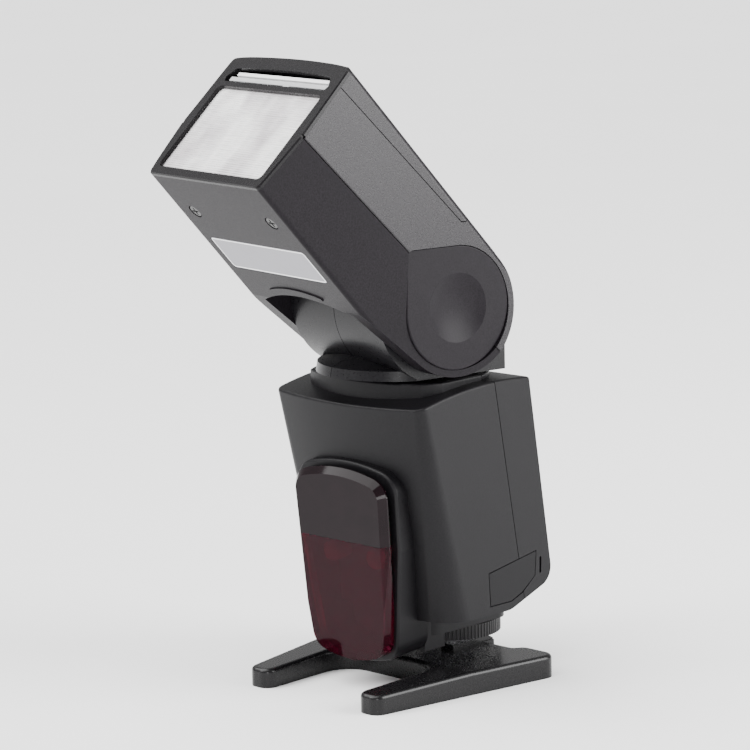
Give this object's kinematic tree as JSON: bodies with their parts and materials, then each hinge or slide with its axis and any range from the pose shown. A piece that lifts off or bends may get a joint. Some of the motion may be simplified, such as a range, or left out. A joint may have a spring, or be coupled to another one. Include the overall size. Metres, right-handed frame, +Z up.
{
  "type": "speedlight flash",
  "caption": "Camera shoe flash with a box head that tilts and turns on a neck, a leaning battery body with a red front window, a ribbed lock ring and a forked desk stand.",
  "frame": {"origin": "on the table, where the axis of the stand's tripod thread, which is also the middle of the flash's shoe foot, meets the stand's underside", "axes": "+Z up, -Y the way the body's red window faces, +X towards the socket cover's side"},
  "size_m": [0.0951, 0.1315, 0.2322],
  "materials": {
    "stand": "satin",
    "thread_brass": "machined",
    "body_plastic": "fine texture",
    "cover_rubber": "matte",
    "sensor_plastic": "polished",
    "red_window": "polished, translucent",
    "board": "solder mask",
    "lamp_lens": "polished",
    "display_window": "polished, clear",
    "display": "reflective display",
    "cell": "sleeved",
    "inner_plastic": "moulded",
    "contact_metal": "plated",
    "capacitor": "sleeved",
    "foot_metal": "satin",
    "screw": "blackened",
    "ring_plastic": "ribbed",
    "neck_plastic": "semi-gloss",
    "head_plastic": "fine texture",
    "bezel_plastic": "smooth",
    "lens": "ribbed, clear",
    "label": "satin film",
    "reflector": "polished",
    "tube_glass": "clear",
    "clear_panel": "clear, ribbed",
    "card": "white",
    "key_rubber": "matte"
  },
  "bodies": {
    "stand": {"stand_base": "stand", "tripod_thread_insert": "thread_brass"},
    "flash": {"body_front_shell": "body_plastic", "body_rear_shell": "body_plastic", "foot_block": "body_plastic", "sensor_window": "sensor_plastic", "assist_window": "red_window", "assist_board": "board", "assist_lamps": "lamp_lens", "display_window": "display_window", "display_module": "display", "main_board": "board", "batteries": "cell", "battery_box": "inner_plastic", "battery_contacts": "contact_metal", "main_capacitor": "capacitor", "sync_socket": "contact_metal", "power_socket": "inner_plastic", "shoe_foot": "foot_metal", "foot_screws": "screw", "body_screws": "screw"},
    "neck": {"neck_left_half": "neck_plastic", "neck_right_half": "neck_plastic", "tilt_shaft": "foot_metal", "swivel_retainer": "foot_metal"},
    "head": {"head_upper_shell": "head_plastic", "head_lower_shell": "head_plastic", "head_top_cover": "head_plastic", "head_screws": "screw", "left_cheek_cover": "head_plastic", "right_cheek_cover": "head_plastic", "head_bezel": "bezel_plastic", "fresnel_lens": "lens", "rating_label": "label", "head_frame": "inner_plastic", "zoom_motor": "foot_metal", "zoom_guide_rods": "foot_metal", "panel_cassette": "inner_plastic"},
    "zoom": {"reflector": "reflector", "flash_tube": "tube_glass", "zoom_carriage": "inner_plastic"},
    "zoom_screw": {"zoom_lead_screw": "foot_metal"},
    "wide_panel": {"wide_panel": "clear_panel"},
    "catchlight_card": {"catchlight_card": "card"},
    "battery_door": {"battery_door": "body_plastic"},
    "socket_cover": {"socket_cover": "cover_rubber"},
    "lock_ring": {"lock_ring": "ring_plastic"},
    "lock_pin": {"lock_pin": "foot_metal"},
    "centre_contact": {"centre_contact": "contact_metal"},
    "side_contacts": {"side_contacts": "contact_metal"},
    "mode_key": {"mode_key": "key_rubber"},
    "zoom_key": {"zoom_key": "key_rubber"},
    "light_key": {"light_key": "key_rubber"},
    "arrow_up_key": {"arrow_up_key": "key_rubber"},
    "arrow_down_key": {"arrow_down_key": "key_rubber"},
    "arrow_left_key": {"arrow_left_key": "key_rubber"},
    "arrow_right_key": {"arrow_right_key": "key_rubber"},
    "set_key": {"set_key": "key_rubber"},
    "power_key": {"power_key": "key_rubber"},
    "pilot_key": {"pilot_key": "key_rubber"}
  },
  "joints": [
    {"name": "foot_in_shoe", "type": "slide", "parent": "stand", "child": "flash", "axis": [0, 1, 0], "range_m": [0, 0.02]},
    {"name": "head_swivel", "type": "hinge", "parent": "flash", "child": "neck", "pos_m": [0, -0.024, 0.1157], "axis": [0, 0, 1], "range_deg": [-169.86, 100.14]},
    {"name": "head_tilt", "type": "hinge", "parent": "neck", "child": "head", "pos_m": [0, -0.024, 0.1426], "axis": [-0.9844, 0.1761, 0], "range_deg": [-45, 45]},
    {"name": "zoom_travel", "type": "slide", "parent": "head", "child": "zoom", "axis": [-0.1245, -0.6961, 0.7071], "range_m": [0, 0.025]},
    {"name": "zoom_screw_turn", "type": "hinge", "parent": "head", "child": "zoom_screw", "pos_m": [-0.00996, -0.07969, 0.17088], "axis": [-0.1245, -0.6961, 0.7071], "range_deg": [0, 1800]},
    {"name": "wide_panel_slide", "type": "slide", "parent": "head", "child": "wide_panel", "axis": [-0.1245, -0.6961, 0.7071], "range_m": [0, 0.036]},
    {"name": "catchlight_card_slide", "type": "slide", "parent": "head", "child": "catchlight_card", "axis": [-0.1245, -0.6961, 0.7071], "range_m": [0, 0.036]},
    {"name": "battery_door_hinge", "type": "hinge", "parent": "flash", "child": "battery_door", "pos_m": [-0.03668, -0.0248, 0.0665], "axis": [-0.0185, -0.1907, 0.9815], "range_deg": [0, 100]},
    {"name": "socket_cover_hinge", "type": "hinge", "parent": "flash", "child": "socket_cover", "pos_m": [0.03622, -0.016, 0.0424], "axis": [-0.0184, 0.0691, -0.9974], "range_deg": [0, 100]},
    {"name": "lock_ring_turn", "type": "hinge", "parent": "flash", "child": "lock_ring", "pos_m": [0, 0, 0.0155], "axis": [0, 0, 1], "range_deg": [0, 60]},
    {"name": "lock_pin_drop", "type": "slide", "parent": "flash", "child": "lock_pin", "axis": [0, 0, -1], "range_m": [0, 0.0011]},
    {"name": "centre_contact_spring", "type": "slide", "parent": "flash", "child": "centre_contact", "axis": [0, 0, 1], "range_m": [0, 0.0008], "stiffness_N_per_m": 300},
    {"name": "side_contacts_spring", "type": "slide", "parent": "flash", "child": "side_contacts", "axis": [0, 0, 1], "range_m": [0, 0.0008], "stiffness_N_per_m": 300},
    {"name": "mode_key_press", "type": "slide", "parent": "flash", "child": "mode_key", "axis": [0, -0.9859, -0.1676], "range_m": [0, 0.0006], "stiffness_N_per_m": 400},
    {"name": "zoom_key_press", "type": "slide", "parent": "flash", "child": "zoom_key", "axis": [0, -0.9859, -0.1676], "range_m": [0, 0.0006], "stiffness_N_per_m": 400},
    {"name": "light_key_press", "type": "slide", "parent": "flash", "child": "light_key", "axis": [0, -0.9859, -0.1676], "range_m": [0, 0.0006], "stiffness_N_per_m": 400},
    {"name": "arrow_up_key_press", "type": "slide", "parent": "flash", "child": "arrow_up_key", "axis": [0, -0.9859, -0.1676], "range_m": [0, 0.0006], "stiffness_N_per_m": 400},
    {"name": "arrow_down_key_press", "type": "slide", "parent": "flash", "child": "arrow_down_key", "axis": [0, -0.9859, -0.1676], "range_m": [0, 0.0006], "stiffness_N_per_m": 400},
    {"name": "arrow_left_key_press", "type": "slide", "parent": "flash", "child": "arrow_left_key", "axis": [0, -0.9859, -0.1676], "range_m": [0, 0.0006], "stiffness_N_per_m": 400},
    {"name": "arrow_right_key_press", "type": "slide", "parent": "flash", "child": "arrow_right_key", "axis": [0, -0.9859, -0.1676], "range_m": [0, 0.0006], "stiffness_N_per_m": 400},
    {"name": "set_key_press", "type": "slide", "parent": "flash", "child": "set_key", "axis": [0, -0.9859, -0.1676], "range_m": [0, 0.0006], "stiffness_N_per_m": 400},
    {"name": "power_key_press", "type": "slide", "parent": "flash", "child": "power_key", "axis": [0, -0.9859, -0.1676], "range_m": [0, 0.0006], "stiffness_N_per_m": 400},
    {"name": "pilot_key_press", "type": "slide", "parent": "flash", "child": "pilot_key", "axis": [0, -0.9859, -0.1676], "range_m": [0, 0.0006], "stiffness_N_per_m": 400}
  ],
  "couplings": [
    {"joint": "zoom_screw_turn", "follows": "zoom_travel", "rad_per_m": 1256.6},
    {"joint": "lock_pin_drop", "follows": "lock_ring_turn", "m_per_rad": 0.00105}
  ]
}
